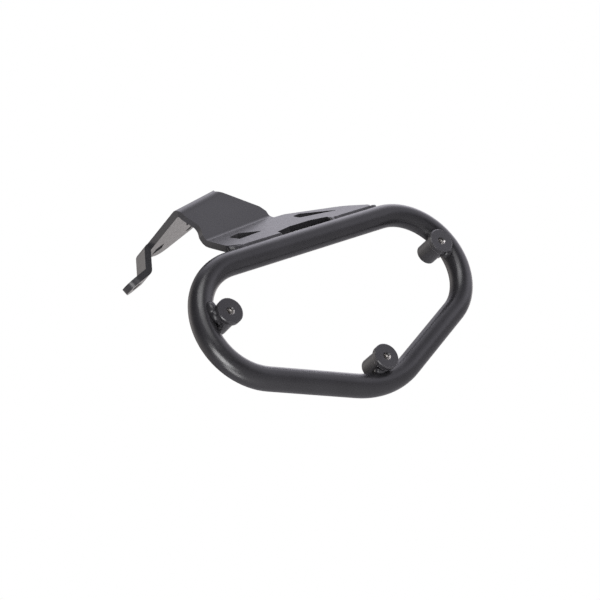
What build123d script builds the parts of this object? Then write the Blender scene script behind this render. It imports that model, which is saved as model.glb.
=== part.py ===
from build123d import *
import os
from math import cos, radians, sin, sqrt, tan

# Pannier frame of a motorcycle: a bent tube loop, three threaded bosses and one folded bracket.
# X runs rearward along the top tube, Y points inboard to the motorcycle and Z is up.
# The origin is the mouth of the lower boss's threaded hole. Sizes are in millimetres and degrees.

# Tube loop
tube_diameter = 18.0
tube_wall = 2.0
top_straight = 150.0
end_bend_radius = 46.75
side_slope = 22.4
bottom_bend_radius = 70.0

# Bosses: each sinks its body a little into the inner side of a bend, and the pattern is 210 by 70
upper_boss_angle = 16.6
upper_boss_sink = 1.8
lower_boss_sink = 2.53
boss_face_offset = 15.0
boss_length = 23.5
boss_head_diameter = 20.0
boss_head_thickness = 4.0
boss_body_diameter = 16.5
boss_edge_chamfer = 0.6
thread_core_diameter = 5.0
thread_mouth_diameter = 6.6

# Bracket sheet and its bends, each with its inside radius
sheet_thickness = 5.2
flange_angle = 45.0
flange_bend_radius = 5.0
ridge_bend_radius = 2.0
tab_drop_angle = 54.7
tab_return_angle = 48.7
tab_bend_radius = 1.0
fold_tolerance = 0.01

# Flange, in its own plane: X along the tube, and reach up the slope from its front edge on the tube
flange_lift = 2.8
fold_left_x = -70.9
fold_left_reach = 24.3
fold_right_x = -1.9
fold_right_reach = 33.8
fold_clearance = 0.4
flange_corner_x = -67.0
flange_corner_reach = 5.3
front_pad_x = -55.0
window_left_x = -19.5
window_right_x = 30.0
window_depth = 6.3
window_chamfer_length = 14.5
window_chamfer_depth = 2.8
window_corner_radius = 2.0
arm_root_x = 9.0
arm_root_reach = 29.2
arm_root_radius = 8.0
arm_shoulder_x = 55.9
arm_shoulder_reach = 13.8
arm_shoulder_radius = 60.0
arm_point_x = 77.5
arm_end_radius = 2.0

# Upright, in its own plane: along the flange fold, and height above it
ridge_left_shift = -7.0
ridge_left_height = 31.4
ridge_right_shift = 34.3
ridge_right_height = 35.8
heel_shift = 66.4
heel_height = 9.8
heel_radius = 7.0
waist_shift = 2.9
waist_height = 11.5
waist_radius = 8.0

# Top plate, in its own plane: along the ridge, and across from it
ridge_clearance = 1.8
front_edge_lean = 11.2
front_edge_length = 54.3
plate_heel_along = 44.5
plate_heel_across = 94.4
plate_heel_radius = 10.0
plate_tail_along = 70.0
plate_tail_across = 59.5
plate_tail_radius = 6.0

# Tab that leaves the top plate's front edge
tab_width = 19.8
tab_clearance = 0.2
tab_drop_length = 19.6
tab_hole_reach = 10.2
tab_hole_diameter = 8.5

# Lightening holes in the plane of their panel: three blunt corners, then a sharper tip.
# The plate's holes are measured from its heel, its rear edge's start and two thirds along that edge.
cutout_corner_radius = 1.4
cutout_tip_radius = 0.4
front_cutout = [(-50.8, 10.0), (-54.6, 17.9), (-43.8, 20.0), (-26.8, 12.4)]
rear_cutout = [(13.0, 15.6), (10.6, 21.5), (18.6, 22.6), (47.6, 9.2)]
plate_front_cutout = [(-20.7, -24.2), (-19.0, -12.4), (-10.5, -17.6), (-15.2, -29.2)]
plate_middle_cutout = [(-8.5, 20.0), (-14.0, 31.6), (-6.9, 39.6), (-0.3, 12.5)]
plate_rear_cutout = [(-8.3, 7.3), (-10.7, 20.3), (-5.3, 22.8), (-5.0, 1.8)]

# Weld beads
boss_bead = 3.0
flange_bead_radius = 3.5
flange_bead_rise = 2.0
flange_bead_inset = 3.5
arm_bead_setback = 4.5

# Values that follow from those above
tube_radius = tube_diameter / 2
tube_plane_y = boss_face_offset
half_straight = top_straight / 2
slope = radians(side_slope)
end_rise = end_bend_radius * (1 + cos(slope))
side_end_x = half_straight + end_bend_radius * sin(slope)
loop_height = end_rise + side_end_x * tan(slope) - bottom_bend_radius * (1 / cos(slope) - 1)
boss_contact = tube_radius + boss_body_diameter / 2
bottom_tube_z = lower_boss_sink - boss_contact
top_tube_z = bottom_tube_z + loop_height
upper_boss_reach = end_bend_radius - boss_contact + upper_boss_sink
upper_boss_x = half_straight + upper_boss_reach * cos(radians(upper_boss_angle))
upper_boss_z = top_tube_z - end_bend_radius + upper_boss_reach * sin(radians(upper_boss_angle))
fold_relief = (flange_bend_radius + sheet_thickness) * tan(radians(90 - flange_angle) / 2) + fold_clearance
ridge_relief = ridge_bend_radius + sheet_thickness + ridge_clearance
tab_neck = (tab_bend_radius + sheet_thickness) * tan(radians(tab_drop_angle) / 2) + tab_clearance


def tube_loop(radius, wall):
    """Closed loop of a straight top, two large end bends, two sloping sides and a bottom bend."""
    bottom_centre_z = bottom_tube_z + bottom_bend_radius
    side_length = side_end_x / cos(slope) - bottom_bend_radius * tan(slope)
    section = Sketch() + Circle(radius)
    if wall:
        section -= Circle(radius - wall)

    def across(x, z, heading):
        """Plane square to the tube at a point of the loop."""
        return Plane((x, tube_plane_y, z), x_dir=(0, 1, 0), z_dir=heading)

    pieces = [extrude(across(-half_straight, top_tube_z, (1, 0, 0)) * section, amount=top_straight)]
    for side in (-1, 1):
        end_axis = Axis((side * half_straight, tube_plane_y, top_tube_z - end_bend_radius), (0, side, 0))
        start = across(side * half_straight, top_tube_z, (side, 0, 0))
        pieces.append(revolve(start * section, axis=end_axis, revolution_arc=180 - side_slope))
        downhill = (-side * cos(slope), 0, -sin(slope))
        start = across(side * side_end_x, top_tube_z - end_rise, downhill)
        pieces.append(extrude(start * section, amount=side_length))
    bottom_axis = Axis((0, tube_plane_y, bottom_centre_z), (0, -1, 0))
    bottom_x = -bottom_bend_radius * sin(slope)
    bottom_z = bottom_centre_z - bottom_bend_radius * cos(slope)
    start = across(bottom_x, bottom_z, (cos(slope), 0, -sin(slope)))
    pieces.append(revolve(start * section, axis=bottom_axis, revolution_arc=2 * side_slope))
    return pieces[0].fuse(*pieces[1:])


def boss_plane(x, z):
    """Plane in a boss's outboard face, facing out."""
    return Plane((x, 0, z), x_dir=(1, 0, 0), z_dir=(0, -1, 0))


def boss(x, z, tube):
    """Turned boss with a wide head and a tapped through hole, hollowed where it sits on the tube."""
    head_radius = boss_head_diameter / 2
    body_radius = boss_body_diameter / 2
    core_radius = thread_core_diameter / 2
    mouth_radius = thread_mouth_diameter / 2
    mouth_depth = mouth_radius - core_radius
    half_section = Polyline(
        (core_radius, -boss_length),
        (body_radius - boss_edge_chamfer, -boss_length),
        (body_radius, -boss_length + boss_edge_chamfer),
        (body_radius, -boss_head_thickness),
        (head_radius, -boss_head_thickness),
        (head_radius, -boss_edge_chamfer),
        (head_radius - boss_edge_chamfer, 0),
        (mouth_radius, 0),
        (core_radius, -mouth_depth),
        close=True,
    )
    turned = revolve(Plane.XZ * make_face(half_section), axis=Axis.Z)
    return boss_plane(x, z) * turned - tube


def boss_weld(x, z, boss_solid, tube, swollen_tube):
    """Bead that fills the corner all round the seat of a boss on the tube."""
    bead_radius = boss_body_diameter / 2 + boss_bead
    reach = Cylinder(bead_radius, boss_length, align=(Align.CENTER, Align.CENTER, Align.MAX))
    corner = (boss_plane(x, z) * reach) & swollen_tube
    return corner - tube - boss_solid


def outline(corners):
    """Face through corners given as (x, y) or, where the corner is rounded, (x, y, radius)."""
    face = make_face(Polyline(*[corner[:2] for corner in corners], close=True))
    for x, y, radius in [corner for corner in corners if len(corner) > 2]:
        vertex = min(face.vertices(), key=lambda v: (v.center() - Vector(x, y)).length)
        face = fillet(vertex, radius)
    return face


def cutout(corners):
    """Lightening hole with blunt corners and a tip."""
    *blunt, tip = corners
    return outline([(x, y, cutout_corner_radius) for x, y in blunt] + [(*tip, cutout_tip_radius)])


def up_slope(height):
    """Distance up the flange's slope from the tube's axis to its surface, at a height off the axis."""
    return sqrt(tube_radius**2 - height**2)


def flange_plane():
    """Upper face of the flange, whose lower front corner rests on the top tube."""
    tilt = radians(flange_angle)
    normal = Vector(0, -sin(tilt), cos(tilt))
    slope = Vector(0, cos(tilt), sin(tilt))
    axis = Vector(0, tube_plane_y, top_tube_z)
    front = axis + slope * up_slope(flange_lift) + normal * (flange_lift + sheet_thickness)
    return Plane(front, x_dir=(1, 0, 0), z_dir=normal)


def upright_plane(flange):
    """Outboard face of the upright, which rises from the flange's fold."""
    left = flange.from_local_coords(Vector(fold_left_x, fold_left_reach))
    right = flange.from_local_coords(Vector(fold_right_x, fold_right_reach))
    along = (right - left).normalized()
    return Plane(left, x_dir=along, z_dir=Vector(along.Y, -along.X, 0))


def top_plane(upright):
    """Upper face of the top plate, square to the upright along the ridge."""
    left = upright.from_local_coords(Vector(ridge_left_shift, ridge_left_height))
    right = upright.from_local_coords(Vector(ridge_right_shift, ridge_right_height))
    along = (right - left).normalized()
    return Plane(left, x_dir=along, z_dir=along.cross(-upright.z_dir))


def folded_plane(plane, start, along, angle):
    """Plane turned about a fold line of another plane, with Y leading away from the fold."""
    origin = plane.from_local_coords(start)
    fold = plane.from_local_coords(start + along) - origin
    normal = plane.z_dir.rotate(Axis((0, 0, 0), fold), angle)
    return Plane(origin, x_dir=fold, z_dir=normal)


def ridge():
    """Ridge from end to end, in the upright's plane."""
    return Vector(ridge_right_shift - ridge_left_shift, ridge_right_height - ridge_left_height)


def away_from_ridge(edge):
    """How far an edge of the upright leads square away from the ridge."""
    along = ridge().normalized()
    return edge.dot(Vector(along.Y, -along.X))


def beside_ridge(end, edge):
    """Corner of the top plate near an end of the ridge, mirroring the upright's edge at that end."""
    drift = edge.dot(ridge().normalized()) / away_from_ridge(edge)
    return Vector(end + drift * ridge_relief, ridge_relief)


def front_side():
    """Line of the upright's front side, from the ridge down to its fold on the flange."""
    return Vector(-ridge_left_shift, fold_relief - ridge_left_height)


def flange_face():
    """Flange outline: welding pads either side of a window, an arm to the rear and two cut-outs."""
    left = Vector(fold_left_x, fold_left_reach)
    right = Vector(fold_right_x, fold_right_reach)
    fold = (right - left).normalized()
    away = Vector(fold.Y, -fold.X)

    def beside(end, distance):
        """Corner at a distance from an end of the fold, square to it."""
        point = end + away * distance
        return point.X, point.Y

    window_side = window_depth - window_chamfer_depth
    face = outline([
        beside(left, -sheet_thickness),
        beside(left, fold_relief),
        (flange_corner_x, flange_corner_reach, window_corner_radius),
        (front_pad_x, 0, window_corner_radius),
        (window_left_x, 0),
        (window_left_x, window_side),
        (window_left_x + window_chamfer_length, window_depth, window_corner_radius),
        (window_right_x - window_chamfer_length, window_depth, window_corner_radius),
        (window_right_x, window_side),
        (window_right_x, 0),
        (arm_point_x, 0, arm_end_radius),
        (arm_shoulder_x, arm_shoulder_reach, arm_shoulder_radius),
        (arm_root_x, arm_root_reach, arm_root_radius),
        beside(right, fold_relief),
        beside(right, -sheet_thickness),
    ])
    return face - cutout(front_cutout) - cutout(rear_cutout)


def upright_face():
    """Upright outline, from its fold on the flange to the ridge, with a waist in its front side."""
    fold_length = Vector(fold_right_x - fold_left_x, fold_right_reach - fold_left_reach).length
    ridge_left = Vector(ridge_left_shift, ridge_left_height)
    waist_end = ridge_left + front_side() * (ridge_relief / away_from_ridge(front_side()))
    return outline([
        (0, -sheet_thickness),
        (0, fold_relief),
        (waist_shift, waist_height, waist_radius),
        (waist_end.X, waist_end.Y),
        (ridge_left_shift, ridge_left_height),
        (ridge_right_shift, ridge_right_height),
        (heel_shift, heel_height, heel_radius),
        (fold_length, fold_relief),
        (fold_length, -sheet_thickness),
    ])


def front_edge():
    """Direction of the top plate's front edge."""
    return Vector(sin(radians(front_edge_lean)), cos(radians(front_edge_lean)))


def front_edge_start():
    """Corner where the top plate's front edge begins."""
    return beside_ridge(0, front_side())


def tab_start():
    """Near end of the tab's first fold, in the top plate's plane."""
    edge = front_edge()
    return front_edge_start() + edge * front_edge_length + Vector(-edge.Y, edge.X) * tab_neck


def top_face():
    """Top plate outline, with the neck of the tab at its front and three cut-outs."""
    ridge_length = ridge().length
    rear_side = Vector(heel_shift - ridge_right_shift, heel_height - ridge_right_height)
    front = front_edge_start()
    rear = beside_ridge(ridge_length, rear_side)
    near = front + front_edge() * front_edge_length
    far = near + front_edge() * tab_width
    near_fold = tab_start()
    far_fold = near_fold + front_edge() * tab_width
    face = outline([
        (0, 0),
        (front.X, front.Y),
        (near.X, near.Y),
        (near_fold.X, near_fold.Y),
        (far_fold.X, far_fold.Y),
        (far.X, far.Y),
        (plate_heel_along, plate_heel_across, plate_heel_radius),
        (plate_tail_along, plate_tail_across, plate_tail_radius),
        (rear.X, rear.Y),
        (ridge_length, 0),
    ])
    heel = Vector(plate_heel_along, plate_heel_across)
    tail = Vector(plate_tail_along, plate_tail_across)
    near_tail = rear + (tail - rear) * (2 / 3)
    holes = [(heel, plate_front_cutout), (rear, plate_middle_cutout), (near_tail, plate_rear_cutout)]
    for start, corners in holes:
        face -= cutout([(start.X + x, start.Y + y) for x, y in corners])
    return face


def tab_drop_face():
    """Sloping stretch of the tab."""
    return outline([(0, 0), (tab_width, 0), (tab_width, tab_drop_length + sheet_thickness),
                    (0, tab_drop_length + sheet_thickness)])


def tab_end_face():
    """Round end of the tab with its bolt hole."""
    shank = outline([(0, -sheet_thickness), (tab_width, -sheet_thickness), (tab_width, tab_hole_reach),
                     (0, tab_hole_reach)])
    eye = Pos(tab_width / 2, tab_hole_reach)
    return shank + eye * Circle(tab_width / 2) - eye * Circle(tab_hole_diameter / 2)


def mitre(planes, panels):
    """Trim neighbouring panels to the plane that halves the fold between them."""
    trimmed = list(panels)
    for index, (first, second) in enumerate(zip(planes, planes[1:])):
        inward = second.x_dir.cross(first.z_dir)
        halfway = Plane(second.origin, z_dir=second.y_dir - inward)
        trimmed[index] = split(trimmed[index], bisect_by=halfway, keep=Keep.BOTTOM)
        trimmed[index + 1] = split(trimmed[index + 1], bisect_by=halfway, keep=Keep.TOP)
    return trimmed


def round_fold(sheet, first, second, face_radius, back_radius):
    """Round a fold on the panels' own faces and on their backs."""
    normals = first.z_dir + second.z_dir
    back = normals * (-sheet_thickness / (1 + first.z_dir.dot(second.z_dir)))

    def lies_on(edge, start):
        """Whether both ends of an edge lie on the fold line through a point."""
        ends = (edge @ 0 - start, edge @ 1 - start)
        return all(end.cross(second.x_dir).length < fold_tolerance for end in ends)

    for start, radius in ((second.origin, face_radius), (second.origin + back, back_radius)):
        fold = [edge for edge in sheet.edges() if lies_on(edge, start)]
        sheet = fillet(fold, radius)
    return sheet


def bracket():
    """One folded sheet: flange, upright, top plate and a joggled tab."""
    flange = flange_plane()
    upright = upright_plane(flange)
    top = top_plane(upright)
    drop = folded_plane(top, tab_start(), front_edge(), -tab_drop_angle)
    end = folded_plane(drop, Vector(0, tab_drop_length), Vector(1, 0), tab_return_angle)
    planes = [flange, upright, top, drop, end]
    faces = [flange_face(), upright_face(), top_face(), tab_drop_face(), tab_end_face()]
    panels = [extrude(plane * face, amount=-sheet_thickness) for plane, face in zip(planes, faces)]
    panels = mitre(planes, panels)
    sheet = panels[0].fuse(*panels[1:])
    sheet = round_fold(sheet, flange, upright, flange_bend_radius, flange_bend_radius + sheet_thickness)
    sheet = round_fold(sheet, upright, top, ridge_bend_radius + sheet_thickness, ridge_bend_radius)
    sheet = round_fold(sheet, top, drop, tab_bend_radius + sheet_thickness, tab_bend_radius)
    return round_fold(sheet, drop, end, tab_bend_radius, tab_bend_radius + sheet_thickness)


def flange_weld(start_x, end_x, bracket_solid, tube):
    """Bead in the groove between the tube and the flange's front edge, centred on the tube's surface."""
    flange = flange_plane()
    reach = up_slope(flange_lift + flange_bead_rise) - up_slope(flange_lift)
    start = flange.from_local_coords(Vector(start_x, reach, flange_bead_rise - sheet_thickness))
    bead = extrude(Plane(start, z_dir=(1, 0, 0)) * Circle(flange_bead_radius), amount=end_x - start_x)
    for x in (start_x, end_x):
        bead += Pos(x, start.Y, start.Z) * Sphere(flange_bead_radius)
    bead = split(bead, bisect_by=flange.offset(-sheet_thickness), keep=Keep.TOP)
    return bead - tube - bracket_solid


def nodes():
    """Every piece of the frame by name."""
    filled_tube = tube_loop(tube_radius, 0)
    swollen_tube = tube_loop(tube_radius + boss_bead, 0)
    sheet = bracket()
    pieces = {"frame_tube": tube_loop(tube_radius, tube_wall), "mounting_bracket": sheet}
    seats = {"front": (-upper_boss_x, upper_boss_z), "rear": (upper_boss_x, upper_boss_z), "lower": (0, 0)}
    for name, (x, z) in seats.items():
        turned = boss(x, z, filled_tube)
        pieces[f"{name}_boss"] = turned
        pieces[f"{name}_boss_weld"] = boss_weld(x, z, turned, filled_tube, swollen_tube)
    front_bead = (front_pad_x + flange_bead_inset, window_left_x - flange_bead_inset)
    rear_bead = (window_right_x + flange_bead_inset, arm_point_x - arm_bead_setback)
    pieces["front_flange_weld"] = flange_weld(*front_bead, sheet, filled_tube)
    pieces["rear_flange_weld"] = flange_weld(*rear_bead, sheet, filled_tube)
    return pieces


if __name__ == "__main__":
    os.makedirs("parts", exist_ok=True)
    for node, piece in nodes().items():
        export_step(piece, f"parts/{node}.step")
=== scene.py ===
"""Looks of a pannier frame: satin coat, weld beads, screw threads, a plain studio and the camera."""
import logging
import math
import random
from dataclasses import dataclass, field
from enum import Enum

import bpy
from mathutils import Euler, Matrix, Vector


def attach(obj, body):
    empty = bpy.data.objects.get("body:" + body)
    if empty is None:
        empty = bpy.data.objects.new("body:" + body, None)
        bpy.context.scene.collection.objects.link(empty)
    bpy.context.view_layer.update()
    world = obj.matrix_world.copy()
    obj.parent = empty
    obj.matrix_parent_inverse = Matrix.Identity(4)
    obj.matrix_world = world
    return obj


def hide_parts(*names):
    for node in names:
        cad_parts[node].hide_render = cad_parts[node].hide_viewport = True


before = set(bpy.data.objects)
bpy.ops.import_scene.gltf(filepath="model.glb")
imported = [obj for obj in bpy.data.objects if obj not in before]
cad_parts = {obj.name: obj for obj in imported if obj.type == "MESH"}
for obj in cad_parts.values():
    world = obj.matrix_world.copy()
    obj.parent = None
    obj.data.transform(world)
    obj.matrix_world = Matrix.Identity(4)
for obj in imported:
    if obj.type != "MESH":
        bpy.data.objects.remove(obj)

LOG = logging.getLogger("pannier_frame")
MM = 0.001
MERGE_DISTANCE = 0.001 * MM
UPPER_BOSS_X = 104.9955 * MM
UPPER_BOSS_Z = 69.9873 * MM

Colour = tuple[float, float, float]


class BossPlace(Enum):
    """Which of the three bosses a piece belongs to."""

    FRONT = "front"
    REAR = "rear"
    LOWER = "lower"


class FlangeEnd(Enum):
    """Which end of the flange a weld bead belongs to."""

    FRONT = "front"
    REAR = "rear"


class NodeWriter:
    """Small helper that adds and links the nodes of one node tree."""

    def __init__(self, tree: bpy.types.NodeTree) -> None:
        """Start with an empty tree.

        Args:
            tree: Node tree to clear and fill.
        """
        self.tree = tree
        tree.nodes.clear()

    def add(self, kind: str, **settings: object) -> bpy.types.Node:
        """Add a node.

        Args:
            kind: Node type name.
            settings: Node properties, or socket names that start with "in_" for input values.

        Returns:
            The new node.
        """
        node = self.tree.nodes.new(kind)
        for name, value in settings.items():
            if name.startswith("in_"):
                node.inputs[name[3:].replace("_", " ")].default_value = value
            else:
                setattr(node, name, value)
        return node

    def link(self, source: bpy.types.NodeSocket, target: bpy.types.NodeSocket) -> None:
        """Join two sockets.

        Args:
            source: Output socket.
            target: Input socket.
        """
        self.tree.links.new(source, target)

    def noise(self, coords: bpy.types.NodeSocket, scale: float,
              detail: float) -> bpy.types.NodeSocket:
        """Add a noise texture.

        Args:
            coords: Socket with the coordinates, in metres.
            scale: Waves per metre.
            detail: Number of finer layers.

        Returns:
            The noise value, from 0 to 1.
        """
        node = self.add("ShaderNodeTexNoise", in_Scale=scale, in_Detail=detail)
        self.link(coords, node.inputs["Vector"])
        return node.outputs["Fac"]

    def spread(self, value: bpy.types.NodeSocket, low: float, high: float,
               start: float = 0.3, end: float = 0.7) -> bpy.types.NodeSocket:
        """Map a value from one range to another.

        Args:
            value: Socket to map.
            low: Result at the start of the range.
            high: Result at the end of the range.
            start: Value that gives the low result.
            end: Value that gives the high result.

        Returns:
            The mapped value.
        """
        node = self.add("ShaderNodeMapRange")
        self.link(value, node.inputs["Value"])
        for name, number in (("From Min", start), ("From Max", end), ("To Min", low), ("To Max", high)):
            node.inputs[name].default_value = number
        return node.outputs["Result"]

    def mix_colour(self, factor: bpy.types.NodeSocket, first: object,
                   second: object) -> bpy.types.NodeSocket:
        """Mix two colours.

        Args:
            factor: Socket with the share of the second colour.
            first: Colour as three numbers, or a socket.
            second: Colour as three numbers, or a socket.

        Returns:
            The mixed colour.
        """
        node = self.add("ShaderNodeMix", data_type="RGBA")
        self.link(factor, node.inputs[0])
        for socket, colour in ((node.inputs[6], first), (node.inputs[7], second)):
            if isinstance(colour, bpy.types.NodeSocket):
                self.link(colour, socket)
            else:
                socket.default_value = (*colour, 1.0)
        return node.outputs[2]

    def bump(self, height: bpy.types.NodeSocket, depth: float,
             normal: bpy.types.NodeSocket) -> bpy.types.NodeSocket:
        """Add a bump over a normal.

        Args:
            height: Socket with the height, from 0 to 1.
            depth: Height of the bump in metres.
            normal: Normal to start from.

        Returns:
            The bumped normal.
        """
        node = self.add("ShaderNodeBump", in_Distance=depth, in_Strength=1.0)
        self.link(height, node.inputs["Height"])
        self.link(normal, node.inputs["Normal"])
        return node.outputs["Normal"]


@dataclass(frozen=True)
class SatinCoat:
    """Satin black powder coat with a fine grain, a soft orange peel and a painted highlight along its edges.
    """

    name: str
    dark: Colour = (0.0120, 0.0115, 0.0130)
    light: Colour = (0.0180, 0.0175, 0.0195)
    # Colour of the grain's flecks, and also of the painted highlight along edges
    fleck_and_edge_highlight: Colour = (0.10, 0.099, 0.103)
    smoothest: float = 0.24
    roughest: float = 0.31
    drift_scale: float = 40.0
    drift_detail: float = 3.0
    peel_scale: float = 420.0
    peel_detail: float = 1.5
    peel_depth: float = 0.000012
    grain_scale: float = 2600.0
    grain_detail: float = 2.0
    grain_depth: float = 0.000003
    speckle: float = 0.12
    speckle_range: tuple[float, float] = (0.5, 0.75)
    edge_radius: float = 0.0005
    edge_samples: int = 4
    # Strength of the painted edge highlight, and how the drift noise thins it along the edges
    edge_highlight: float = 0.35
    edge_range: tuple[float, float] = (0.75, 0.94)
    least_edge_highlight: float = 0.2
    edge_highlight_drift_range: tuple[float, float] = (0.4, 0.6)

    def material(self) -> bpy.types.Material:
        """Make the material.

        Returns:
            A material that reads the object's own coordinates.
        """
        material = bpy.data.materials.new(self.name)
        material.use_nodes = True
        nodes = NodeWriter(material.node_tree)
        coords = nodes.add("ShaderNodeTexCoord").outputs["Object"]
        drift = nodes.noise(coords, self.drift_scale, self.drift_detail)
        peel = nodes.noise(coords, self.peel_scale, self.peel_detail)
        grain = nodes.noise(coords, self.grain_scale, self.grain_detail)
        # Near edges the bevel's normal turns away from the flat one, and that share lightens the colour as a
        # painted highlight along edges
        bevel = nodes.add("ShaderNodeBevel", samples=self.edge_samples, in_Radius=self.edge_radius)
        flat = nodes.add("ShaderNodeNewGeometry").outputs["Normal"]
        turn = nodes.add("ShaderNodeVectorMath", operation="DOT_PRODUCT")
        nodes.link(bevel.outputs["Normal"], turn.inputs[0])
        nodes.link(flat, turn.inputs[1])
        edge = nodes.spread(turn.outputs["Value"], self.edge_highlight, 0.0, *self.edge_range)
        painted_edge_highlight = nodes.add("ShaderNodeMath", operation="MULTIPLY")
        nodes.link(edge, painted_edge_highlight.inputs[0])
        nodes.link(nodes.spread(drift, self.least_edge_highlight, 1.0, *self.edge_highlight_drift_range), painted_edge_highlight.inputs[1])
        tone = nodes.mix_colour(nodes.spread(drift, 0.0, 1.0), self.dark, self.light)
        flecks = nodes.spread(grain, 0.0, self.speckle, *self.speckle_range)
        speckled = nodes.mix_colour(flecks, tone, self.fleck_and_edge_highlight)
        colour = nodes.mix_colour(painted_edge_highlight.outputs["Value"], speckled, self.fleck_and_edge_highlight)
        rough = nodes.spread(peel, self.smoothest, self.roughest)
        normal = nodes.bump(peel, self.peel_depth, flat)
        normal = nodes.bump(grain, self.grain_depth, normal)
        shader = nodes.add("ShaderNodeBsdfPrincipled")
        nodes.link(colour, shader.inputs["Base Color"])
        nodes.link(rough, shader.inputs["Roughness"])
        nodes.link(normal, shader.inputs["Normal"])
        output = nodes.add("ShaderNodeOutputMaterial")
        nodes.link(shader.outputs["BSDF"], output.inputs["Surface"])
        return material


@dataclass(frozen=True)
class BareThread:
    """Bright cut steel of a tapped hole, with fine turning marks and darker oil stains."""

    name: str
    bright: Colour = (0.62, 0.60, 0.58)
    stained: Colour = (0.20, 0.18, 0.17)
    smoothest: float = 0.30
    roughest: float = 0.48
    stain_scale: float = 320.0
    stain_detail: float = 3.0
    stain_share: float = 0.8
    stain_range: tuple[float, float] = (0.45, 0.7)
    mark_scale: float = 5200.0
    mark_detail: float = 1.0
    mark_depth: float = 0.00001

    def material(self) -> bpy.types.Material:
        """Make the material.

        Returns:
            A metal material that reads the object's own coordinates.
        """
        material = bpy.data.materials.new(self.name)
        material.use_nodes = True
        nodes = NodeWriter(material.node_tree)
        coords = nodes.add("ShaderNodeTexCoord").outputs["Object"]
        stain = nodes.noise(coords, self.stain_scale, self.stain_detail)
        marks = nodes.noise(coords, self.mark_scale, self.mark_detail)
        stained = nodes.spread(stain, 0.0, self.stain_share, *self.stain_range)
        colour = nodes.mix_colour(stained, self.bright, self.stained)
        flat = nodes.add("ShaderNodeNewGeometry").outputs["Normal"]
        shader = nodes.add("ShaderNodeBsdfPrincipled", in_Metallic=1.0)
        nodes.link(colour, shader.inputs["Base Color"])
        nodes.link(nodes.spread(stain, self.smoothest, self.roughest), shader.inputs["Roughness"])
        nodes.link(nodes.bump(marks, self.mark_depth, flat), shader.inputs["Normal"])
        output = nodes.add("ShaderNodeOutputMaterial")
        nodes.link(shader.outputs["BSDF"], output.inputs["Surface"])
        return material


@dataclass(frozen=True)
class PaleFloor:
    """Pale matt studio floor."""

    name: str
    colour: Colour = (0.74, 0.74, 0.74)
    fleck: Colour = (0.70, 0.70, 0.70)
    fleck_scale: float = 6.0
    fleck_detail: float = 2.0
    roughness: float = 0.9

    def material(self) -> bpy.types.Material:
        """Make the material.

        Returns:
            A matt material with a faint mottle.
        """
        material = bpy.data.materials.new(self.name)
        material.use_nodes = True
        nodes = NodeWriter(material.node_tree)
        coords = nodes.add("ShaderNodeTexCoord").outputs["Object"]
        mottle = nodes.noise(coords, self.fleck_scale, self.fleck_detail)
        shader = nodes.add("ShaderNodeBsdfPrincipled", in_Roughness=self.roughness)
        nodes.link(nodes.mix_colour(mottle, self.colour, self.fleck), shader.inputs["Base Color"])
        output = nodes.add("ShaderNodeOutputMaterial")
        nodes.link(shader.outputs["BSDF"], output.inputs["Surface"])
        return material


def select_only(obj: bpy.types.Object) -> None:
    """Select one object and make it active, with everything else deselected.

    Args:
        obj: Object to select.
    """
    bpy.ops.object.select_all(action="DESELECT")
    obj.select_set(True)
    bpy.context.view_layer.objects.active = obj


def apply_modifier(obj: bpy.types.Object, kind: str, **settings: object) -> None:
    """Add a modifier and apply it.

    Args:
        obj: Object to change.
        kind: Modifier type.
        settings: Properties of the modifier.
    """
    select_only(obj)
    modifier = obj.modifiers.new(kind.title(), kind)
    for name, value in settings.items():
        setattr(modifier, name, value)
    bpy.ops.object.modifier_apply(modifier=modifier.name)


def apply_place(obj: bpy.types.Object) -> None:
    """Move an object's place, turn and scale into its mesh.

    Args:
        obj: Object to change.
    """
    select_only(obj)
    bpy.ops.object.transform_apply(location=True, rotation=True, scale=True)


def close_and_face_outward(obj: bpy.types.Object) -> None:
    """Merge doubled points and turn all faces outward.

    Args:
        obj: Mesh object to mend.
    """
    select_only(obj)
    bpy.ops.object.mode_set(mode="EDIT")
    bpy.ops.mesh.select_all(action="SELECT")
    bpy.ops.mesh.remove_doubles(threshold=MERGE_DISTANCE)
    bpy.ops.mesh.normals_make_consistent(inside=False)
    bpy.ops.object.mode_set(mode="OBJECT")


def join(parts: list[bpy.types.Object], name: str) -> bpy.types.Object:
    """Join several objects into one.

    Args:
        parts: Objects to join.
        name: Name of the joined object.

    Returns:
        The joined object.
    """
    select_only(parts[0])
    for part in parts[1:]:
        part.select_set(True)
    bpy.ops.object.join()
    parts[0].name = name
    parts[0].data.name = name
    return parts[0]


def dress(obj: bpy.types.Object, material: bpy.types.Material) -> None:
    """Give an object one material in all its slots.

    Args:
        obj: Object to dress.
        material: Its material.
    """
    if obj.material_slots:
        for slot in obj.material_slots:
            slot.material = material
    else:
        obj.data.materials.append(material)


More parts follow.
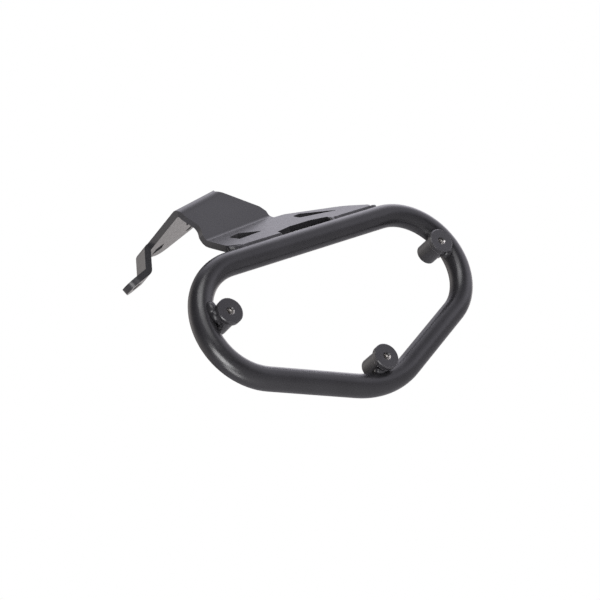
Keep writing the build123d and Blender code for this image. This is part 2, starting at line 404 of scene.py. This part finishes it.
@dataclass
class ScrewThread:
    """Thread of one tapped boss hole: a bare steel mouth kept only on its lit side as a painted highlight,
    and a ridge that winds down the bore.
    """

    place: BossPlace
    axis_x: float
    axis_z: float
    finish: bpy.types.Material
    bore_radius: float = 2.5 * MM
    mouth_radius: float = 3.3 * MM
    mouth_wall: float = 0.04 * MM
    mouth_sides: int = 48
    # Middle and half width, in degrees, of the bright bare arc: it sits on the side of the mouth where the
    # light falls, as a painted highlight
    lit_bare_middle: float = -70.0
    lit_bare_reach: float = 62.0
    ridge_share: float = 0.96
    ridge_depth: float = 0.32 * MM
    wall_sink: float = 0.04 * MM
    pitch: float = 1.0 * MM
    start_depth: float = 1.9 * MM
    turns: int = 20
    steps_per_turn: int = 28
    smooth_angle: float = math.radians(35)

    def build(self) -> bpy.types.Object:
        """Model the thread and set it in its hole.

        Returns:
            The finished thread.
        """
        thread = join([self.ridge(), self.mouth()], f"{self.place.value}_boss_thread")
        close_and_face_outward(thread)
        bpy.ops.object.shade_smooth_by_angle(angle=self.smooth_angle)
        dress(thread, self.finish)
        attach(thread, "root")
        LOG.info("%s: %d faces", thread.name, len(thread.data.polygons))
        return thread

    def ridge(self) -> bpy.types.Object:
        """Three-sided ridge, pressed flat and wound along the bore.

        Returns:
            The closed helix, in its place.
        """
        width = self.ridge_share * self.pitch
        radius = width / math.sqrt(3)
        height = self.ridge_depth + self.wall_sink
        squash = height / (1.5 * radius)
        middle = self.bore_radius + self.wall_sink - height / 3
        bpy.ops.object.select_all(action="DESELECT")
        bpy.ops.mesh.primitive_circle_add(vertices=3, radius=radius, location=(middle, 0, 0),
                                          rotation=(0, 0, math.pi / 2))
        ridge = bpy.context.active_object
        bpy.ops.object.mode_set(mode="EDIT")
        bpy.ops.mesh.select_all(action="SELECT")
        bpy.ops.transform.resize(value=(squash, 1, 1))
        bpy.ops.object.mode_set(mode="OBJECT")
        apply_place(ridge)
        apply_modifier(ridge, "SCREW", axis="Y", angle=2 * math.pi, screw_offset=self.pitch,
                       iterations=self.turns, steps=self.steps_per_turn, render_steps=self.steps_per_turn,
                       use_normal_calculate=True)
        self.cap_ends(ridge)
        ridge.location = (self.axis_x, self.start_depth, self.axis_z)
        apply_place(ridge)
        return ridge

    def mouth(self) -> bpy.types.Object:
        """Bare steel cone at the mouth of the hole, cut down to the arc on its lit side as a painted
        highlight.

        Returns:
            A thin ring that lies on the hole's chamfer.
        """
        rim = self.mouth_radius - self.mouth_wall
        throat = self.bore_radius - self.mouth_wall
        bpy.ops.object.select_all(action="DESELECT")
        bpy.ops.mesh.primitive_circle_add(vertices=self.mouth_sides, radius=rim, rotation=(math.pi / 2, 0, 0),
                                          location=(self.axis_x, self.mouth_wall, self.axis_z))
        mouth = bpy.context.active_object
        bpy.ops.object.mode_set(mode="EDIT")
        bpy.ops.mesh.select_all(action="SELECT")
        bpy.ops.mesh.extrude_edges_move(TRANSFORM_OT_translate={"value": (0, rim - throat, 0)})
        bpy.ops.transform.resize(value=(throat / rim, 1, throat / rim))
        bpy.ops.object.mode_set(mode="OBJECT")
        apply_place(mouth)
        self.keep_lit_bare_arc(mouth)
        close_and_face_outward(mouth)
        apply_modifier(mouth, "SOLIDIFY", thickness=self.mouth_wall, offset=0.0)
        return mouth

    def keep_lit_bare_arc(self, mouth: bpy.types.Object) -> None:
        """Take away the cone outside the arc on the lit side of the hole, so that bright steel shows only
        where the light falls, as a painted highlight.

        Args:
            mouth: The whole cone.
        """
        select_only(mouth)
        bpy.ops.object.mode_set(mode="EDIT")
        bpy.ops.mesh.select_mode(type="FACE")
        bpy.ops.mesh.select_all(action="DESELECT")
        bpy.ops.object.mode_set(mode="OBJECT")
        for face in mouth.data.polygons:
            angle = math.degrees(math.atan2(face.center.z - self.axis_z, face.center.x - self.axis_x))
            off = (angle - self.lit_bare_middle + 180) % 360 - 180
            face.select = abs(off) > self.lit_bare_reach
        bpy.ops.object.mode_set(mode="EDIT")
        bpy.ops.mesh.delete(type="FACE")
        bpy.ops.object.mode_set(mode="OBJECT")

    def cap_ends(self, ridge: bpy.types.Object) -> None:
        """Close both ends of the helix with a face.

        Args:
            ridge: The open helix.
        """
        select_only(ridge)
        bpy.ops.object.mode_set(mode="EDIT")
        bpy.ops.mesh.select_all(action="SELECT")
        bpy.ops.mesh.remove_doubles(threshold=MERGE_DISTANCE)
        bpy.ops.mesh.select_all(action="DESELECT")
        bpy.ops.mesh.select_mode(type="EDGE")
        bpy.ops.mesh.select_non_manifold()
        bpy.ops.mesh.fill_holes(sides=0)
        bpy.ops.object.mode_set(mode="OBJECT")


@dataclass(frozen=True)
class Puddle:
    """One frozen puddle of a weld bead."""

    place: Vector
    radius: float


@dataclass
class WeldBead:
    """Weld bead with fine ripples, grown from a row of frozen puddles."""

    node: str
    name: str
    finish: bpy.types.Material
    line: list[Puddle]
    flatness: float = 0.85
    gap: float = 0.9 * MM
    scatter: float = 0.09 * MM
    voxel: float = 0.28 * MM
    smoothing: int = 22
    smooth_factor: float = 0.5
    ball_detail: int = 3
    seed: int = 3

    def build(self) -> bpy.types.Object:
        """Model the bead and let it stand for its CAD node.

        Returns:
            The finished bead.
        """
        bead = join(self.lumps(), self.name)
        apply_modifier(bead, "REMESH", mode="VOXEL", voxel_size=self.voxel)
        apply_modifier(bead, "SMOOTH", factor=self.smooth_factor, iterations=self.smoothing)
        close_and_face_outward(bead)
        bpy.ops.object.shade_smooth()
        dress(bead, self.finish)
        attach(bead, "root")
        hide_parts(self.node)
        LOG.info("%s: %d faces", bead.name, len(bead.data.polygons))
        return bead

    def walk(self) -> list[tuple[Puddle, Vector]]:
        """Puddles at an even gap along the line.

        Returns:
            Pairs of a puddle and the direction of travel there.
        """
        steps: list[tuple[Puddle, Vector]] = []
        left = 0.0
        for start, end in zip(self.line, self.line[1:]):
            run = end.place - start.place
            while left <= run.length:
                share = left / run.length
                radius = start.radius + (end.radius - start.radius) * share
                steps.append((Puddle(start.place + run * share, radius), run.normalized()))
                left += self.gap
            left -= run.length
        return steps

    def lumps(self) -> list[bpy.types.Object]:
        """Puddles along the line, each a flattened ball that leans on the one before.

        Returns:
            The puddles as loose objects.
        """
        bpy.ops.object.select_all(action="DESELECT")
        bpy.ops.mesh.primitive_ico_sphere_add(subdivisions=self.ball_detail, radius=1.0)
        model = bpy.context.active_object
        bpy.ops.object.mode_set(mode="EDIT")
        bpy.ops.mesh.select_all(action="SELECT")
        bpy.ops.transform.resize(value=(self.flatness, 1.0, 1.0))
        bpy.ops.object.mode_set(mode="OBJECT")
        draw = random.Random(self.seed)
        copies = []
        for puddle, heading in self.walk():
            lump = bpy.data.objects.new("puddle", model.data.copy())
            bpy.context.scene.collection.objects.link(lump)
            size = puddle.radius + self.scatter * draw.uniform(-1, 1)
            turn = heading.to_track_quat("X", "Z").to_matrix().to_4x4()
            scale = Matrix.Diagonal((size, size, size, 1))
            lump.matrix_world = Matrix.Translation(puddle.place) @ turn @ scale
            apply_place(lump)
            copies.append(lump)
        bpy.data.objects.remove(model)
        return copies


@dataclass(frozen=True)
class Swell:
    """Stretch of a boss bead where the welder lingered: place in degrees, sizes in millimetres."""

    angle: float
    radius: float
    distance: float
    spread: float


@dataclass
class BossSeat:
    """Seam where a boss meets the tube: two round bars that cross at right angles."""

    axis_x: float
    axis_z: float
    lean: float
    distance: float
    swells: tuple[Swell, ...]
    tube_y: float = 15.0 * MM
    tube_radius: float = 9.0 * MM
    body_radius: float = 8.25 * MM
    thin_radius: float = 0.9
    thin_distance: float = 0.6
    steps: int = 60

    def bead_size(self, angle: float) -> tuple[float, float]:
        """Size of the bead at a place round the seat.

        Args:
            angle: Place round the seat, in degrees.

        Returns:
            Radius of the puddles and their distance from the seam, in millimetres.
        """
        radius, distance = self.thin_radius, self.thin_distance
        for swell in self.swells:
            off = (angle - swell.angle + 180) % 360 - 180
            share = math.exp(-((off / swell.spread) ** 2))
            radius = max(radius, self.thin_radius + (swell.radius - self.thin_radius) * share)
            distance = max(distance, self.thin_distance + (swell.distance - self.thin_distance) * share)
        return radius, distance

    def line(self) -> list[Puddle]:
        """Line of puddles round the seat.

        Returns:
            Puddles of a closed line, whose last is its first.
        """
        toward_boss = Vector((math.sin(self.lean), 0, math.cos(self.lean)))
        along = Vector((math.cos(self.lean), 0, -math.sin(self.lean)))
        tube_axis = Vector((self.axis_x, self.tube_y, self.axis_z)) - toward_boss * self.distance
        nearest = self.distance - self.body_radius
        half_width = math.sqrt(self.tube_radius**2 - nearest**2)
        puddles = []
        for step in range(self.steps + 1):
            angle = 2 * math.pi * step / self.steps
            side = half_width * math.sin(angle)
            height = math.sqrt(self.tube_radius**2 - side**2)
            run = math.sqrt(max(self.body_radius**2 - (self.distance - height) ** 2, 0.0))
            run = math.copysign(run, math.cos(angle))
            seam = tube_axis + toward_boss * height + along * run + Vector((0, side, 0))
            tube_normal = (toward_boss * height + Vector((0, side, 0))) / self.tube_radius
            boss_normal = (along * run + toward_boss * (height - self.distance)) / self.body_radius
            radius, distance = self.bead_size(math.degrees(angle))
            middle = (tube_normal + boss_normal).normalized()
            puddles.append(Puddle(seam + middle * distance * MM, radius * MM))
        return puddles


def boss_coat(place: BossPlace) -> SatinCoat:
    """Coat of a boss, with a strong painted highlight along its edges.

    Args:
        place: Which boss it is.

    Returns:
        The finish, named after the boss.
    """
    # A bright edge colour at nearly full share: a painted highlight along the bosses' edges
    return SatinCoat(f"{place.value}_boss_coat", fleck_and_edge_highlight=(0.40, 0.39, 0.40), edge_highlight=0.9)


@dataclass
class FrameParts:
    """CAD nodes of the frame and the finish of each."""

    coats: dict[str, SatinCoat] = field(default_factory=lambda: {
        "frame_tube": SatinCoat("tube_coat", peel_depth=0.000018),
        # The bracket's coat is the same coat as the tube's, painted lighter as painted light: it stands in
        # for the bracket catching more light
        "mounting_bracket": SatinCoat("bracket_coat", dark=(0.026, 0.0255, 0.0275),
                                      light=(0.032, 0.0315, 0.034)),
        **{f"{place.value}_boss": boss_coat(place) for place in BossPlace},
    })

    def dress(self) -> None:
        """Give each node its coat."""
        for node, coat in self.coats.items():
            dress(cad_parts[node], coat.material())
            LOG.info("%s: %s", node, coat.name)


@dataclass
class Welds:
    """All weld beads of the frame."""

    # The weld coat keeps a weaker painted highlight along its edges
    coat: SatinCoat = SatinCoat("weld_coat", smoothest=0.28, roughest=0.36, peel_depth=0.000008,
                                edge_radius=0.0003, edge_highlight=0.25)
    upper_lean: float = math.radians(73.4)
    upper_distance: float = 15.45 * MM
    lower_distance: float = 14.72 * MM
    front_swells: tuple[Swell, ...] = (Swell(214.0, 4.3, 8.2, 32.0), Swell(246.0, 3.5, 5.2, 24.0))
    rear_swells: tuple[Swell, ...] = (Swell(10.0, 3.4, 9.5, 26.0), Swell(232.0, 3.4, 5.0, 22.0))
    lower_swells: tuple[Swell, ...] = (Swell(227.0, 2.7, 4.5, 18.0),)
    flange_front: Vector = field(default_factory=lambda: Vector((0.0, 15.391, 119.500)) * MM)
    flange_angle: float = math.radians(45)
    flange_flatness: float = 1.0
    flange_gap: float = 0.7 * MM
    flange_scatter: float = 0.06 * MM
    flange_smoothing: int = 12
    boss_seed: int = 11
    flange_seed: int = 21
    # Places along the tube, reach up the flange's slope, depth below its face, and puddle radius
    front_run: tuple[tuple[float, ...], ...] = (
        (-65.5, 2.6, 2.5, 2.0),
        (-63.5, 0.6, 2.2, 1.9),
        (-61.0, -0.4, 1.8, 1.5),
        (-57.0, -0.7, 1.7, 1.4),
        (-52.0, -0.6, 1.7, 1.2),
        (-19.5, -0.6, 1.7, 1.2),
    )
    rear_run: tuple[tuple[float, ...], ...] = (
        (29.8, -1.2, 1.4, 1.8),
        (31.5, -1.0, 1.5, 1.6),
        (33.0, -0.6, 1.7, 1.2),
        (35.0, -0.7, 1.7, 1.4),
        (39.0, -0.6, 1.7, 1.2),
        (74.5, -0.6, 1.7, 1.2),
        (77.0, -0.3, 2.0, 1.1),
    )
    # Rows of the weave: reach and depth off the run's own line
    weave: tuple[tuple[float, float], ...] = ((0.77, -0.45), (0.0, 0.0), (-0.77, 0.45))

    def build(self) -> None:
        """Model every bead in turn."""
        finish = self.coat.material()
        seats = {
            BossPlace.FRONT: BossSeat(-UPPER_BOSS_X, UPPER_BOSS_Z, self.upper_lean, self.upper_distance,
                                      self.front_swells),
            BossPlace.REAR: BossSeat(UPPER_BOSS_X, UPPER_BOSS_Z, -self.upper_lean, self.upper_distance,
                                     self.rear_swells),
            BossPlace.LOWER: BossSeat(0.0, 0.0, 0.0, self.lower_distance, self.lower_swells),
        }
        for seed, (place, seat) in enumerate(seats.items(), start=self.boss_seed):
            node = f"{place.value}_boss_weld"
            WeldBead(node, f"{place.value}_boss_bead", finish, seat.line(), seed=seed).build()
        runs = {FlangeEnd.FRONT: self.front_run, FlangeEnd.REAR: self.rear_run}
        for seed, (end, run) in enumerate(runs.items(), start=self.flange_seed):
            node = f"{end.value}_flange_weld"
            WeldBead(node, f"{end.value}_flange_bead", finish, self.flange_line(run),
                     flatness=self.flange_flatness, gap=self.flange_gap, scatter=self.flange_scatter,
                     smoothing=self.flange_smoothing, seed=seed).build()

    def flange_line(self, run: tuple[tuple[float, ...], ...]) -> list[Puddle]:
        """Line of puddles along the flange's front edge, there and back in the rows of the weave.

        Args:
            run: Places along the tube, reaches, depths and radii, in millimetres.

        Returns:
            Puddles of an open line.
        """
        slope = Vector((0, math.cos(self.flange_angle), math.sin(self.flange_angle)))
        normal = Vector((0, -slope.z, slope.y))
        puddles = []
        for row, (more_reach, more_depth) in enumerate(self.weave):
            for x, reach, depth, radius in run if row % 2 == 0 else reversed(run):
                off = slope * (reach + more_reach) - normal * (depth + more_depth)
                puddles.append(Puddle(self.flange_front + (Vector((x, 0, 0)) + off) * MM, radius * MM))
        return puddles


@dataclass
class Threads:
    """Screw threads of the three bosses."""

    finish: BareThread = BareThread("bare_thread")

    def build(self) -> None:
        """Model each thread in its hole."""
        steel = self.finish.material()
        ScrewThread(BossPlace.FRONT, -UPPER_BOSS_X, UPPER_BOSS_Z, steel).build()
        ScrewThread(BossPlace.REAR, UPPER_BOSS_X, UPPER_BOSS_Z, steel).build()
        ScrewThread(BossPlace.LOWER, 0.0, 0.0, steel).build()


def toward(azimuth: float, elevation: float) -> Vector:
    """Direction of a light.

    Args:
        azimuth: Angle from +X towards +Y, in degrees.
        elevation: Angle above the floor, in degrees.

    Returns:
        Unit vector that points from the frame to the light.
    """
    turn, rise = math.radians(azimuth), math.radians(elevation)
    return Vector((math.cos(turn) * math.cos(rise), math.sin(turn) * math.cos(rise), math.sin(rise)))


class Tint(Enum):
    """Colours of the studio light."""

    COOL = (0.985, 0.960, 1.07)
    WARM = (1.06, 1.0, 0.975)


@dataclass(frozen=True)
class SoftBox:
    """Square soft lamp that points at the frame."""

    name: str
    azimuth: float
    elevation: float
    width: float
    power: float
    distance: float = 1.0

    def build(self, target: Vector) -> None:
        """Add the lamp.

        Args:
            target: Point that the lamp faces.
        """
        lamp = bpy.data.lights.new(self.name, "AREA")
        lamp.shape = "SQUARE"
        lamp.size = self.width
        lamp.energy = self.power
        holder = bpy.data.objects.new(self.name, lamp)
        way = toward(self.azimuth, self.elevation)
        holder.location = target + way * self.distance
        holder.rotation_euler = (-way).to_track_quat("-Z", "Y").to_euler()
        holder.visible_camera = False
        bpy.context.scene.collection.objects.link(holder)


@dataclass(frozen=True)
class Glow:
    """Broad patch of light on the studio's walls."""

    azimuth: float
    elevation: float
    level: float
    tint: Tint = Tint.COOL
    sharpness: float = 10.0

    def add_to(self, nodes: NodeWriter, heading: bpy.types.NodeSocket) -> bpy.types.NodeSocket:
        """Write the patch into the world's nodes.

        Args:
            nodes: Writer of the world's nodes.
            heading: Socket with the direction of view.

        Returns:
            The patch's light as a colour.
        """
        turn = nodes.add("ShaderNodeVectorMath", operation="DOT_PRODUCT")
        nodes.link(heading, turn.inputs[0])
        turn.inputs[1].default_value = toward(self.azimuth, self.elevation)
        facing = nodes.spread(turn.outputs["Value"], 0.0, 1.0, 0.0, 1.0)
        fall_off = nodes.add("ShaderNodeMath", operation="POWER")
        nodes.link(facing, fall_off.inputs[0])
        fall_off.inputs[1].default_value = self.sharpness
        light = nodes.add("ShaderNodeVectorMath", operation="SCALE")
        light.inputs[0].default_value = [self.level * share for share in self.tint.value]
        nodes.link(fall_off.outputs["Value"], light.inputs["Scale"])
        return light.outputs["Vector"]


@dataclass
class Studio:
    """White surroundings with patches of light, soft lamps and a pale floor well below the frame."""

    floor_height: float = -0.75
    floor_size: float = 8.0
    centre: Vector = field(default_factory=lambda: Vector((0.0, 0.04, 0.08)))
    lamps: tuple[SoftBox, ...] = (
        SoftBox("front_lamp", 256.0, 24.0, 0.60, 2.2),
        SoftBox("upper_lamp", 254.0, 45.0, 0.50, 2.6),
        SoftBox("low_lamp", 184.0, -40.0, 0.35, 2.4),
        SoftBox("low_front_lamp", 210.0, -19.0, 0.45, 6.4),
    )
    glows: tuple[Glow, ...] = (
        Glow(0.0, 3.0, 0.55),
        Glow(36.0, 3.0, 1.21, Tint.WARM),
        Glow(108.0, 3.0, 0.13, Tint.WARM),
        Glow(144.0, 3.0, 0.50, Tint.WARM),
        Glow(324.0, 3.0, 1.36),
        Glow(18.0, 33.0, 1.45),
        Glow(108.0, 33.0, 1.15, Tint.WARM),
        Glow(243.0, 33.0, 0.67),
        Glow(333.0, 33.0, 0.40),
        Glow(0.0, 62.0, 1.60),
    )

    def build(self) -> None:
        """Set up the world, the lamps and the floor."""
        self.world()
        for lamp in self.lamps:
            lamp.build(self.centre)
        self.floor()

    def world(self) -> None:
        """White background for the camera, and patches of light for everything else."""
        world = bpy.data.worlds.new("studio")
        bpy.context.scene.world = world
        world.use_nodes = True
        nodes = NodeWriter(world.node_tree)
        heading = nodes.add("ShaderNodeTexCoord").outputs["Generated"]
        light = self.glows[0].add_to(nodes, heading)
        for glow in self.glows[1:]:
            total = nodes.add("ShaderNodeVectorMath", operation="ADD")
            nodes.link(light, total.inputs[0])
            nodes.link(glow.add_to(nodes, heading), total.inputs[1])
            light = total.outputs["Vector"]
        rays = nodes.add("ShaderNodeLightPath")
        seen = nodes.mix_colour(rays.outputs["Is Camera Ray"], light, (1.0, 1.0, 1.0))
        backdrop = nodes.add("ShaderNodeBackground")
        nodes.link(seen, backdrop.inputs["Color"])
        output = nodes.add("ShaderNodeOutputWorld")
        nodes.link(backdrop.outputs["Background"], output.inputs["Surface"])

    def floor(self) -> None:
        """Pale floor below the camera's sight line."""
        bpy.ops.object.select_all(action="DESELECT")
        bpy.ops.mesh.primitive_plane_add(size=self.floor_size)
        floor = bpy.context.active_object
        floor.name = "floor"
        floor.location.z = self.floor_height
        apply_place(floor)
        dress(floor, PaleFloor("pale_floor").material())
        LOG.info("floor at %.2f m", self.floor_height)


@dataclass
class PhotoCamera:
    """Camera at the photograph's place, turn and lens."""

    place: tuple[float, float, float] = (-0.788083, -0.932206, -0.208944)
    turn: tuple[float, float, float] = (104.4717, 27.8488, -31.6395)
    lens: float = 102.0
    sensor: float = 36.0

    def build(self) -> None:
        """Add the camera and make it the scene's own."""
        data = bpy.data.cameras.new("photo_camera")
        data.sensor_fit = "HORIZONTAL"
        data.sensor_width = self.sensor
        data.lens = self.lens
        camera = bpy.data.objects.new("photo_camera", data)
        camera.location = self.place
        camera.rotation_euler = Euler([math.radians(angle) for angle in self.turn], "XYZ")
        bpy.context.scene.collection.objects.link(camera)
        bpy.context.scene.camera = camera


def main() -> None:
    """Build the classes in order."""
    logging.basicConfig(level=logging.INFO, format="%(name)s: %(message)s")
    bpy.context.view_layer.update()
    FrameParts().dress()
    Welds().build()
    Threads().build()
    Studio().build()
    PhotoCamera().build()
    bpy.context.scene.view_settings.view_transform = "Standard"


if __name__ == "__main__":
    main()
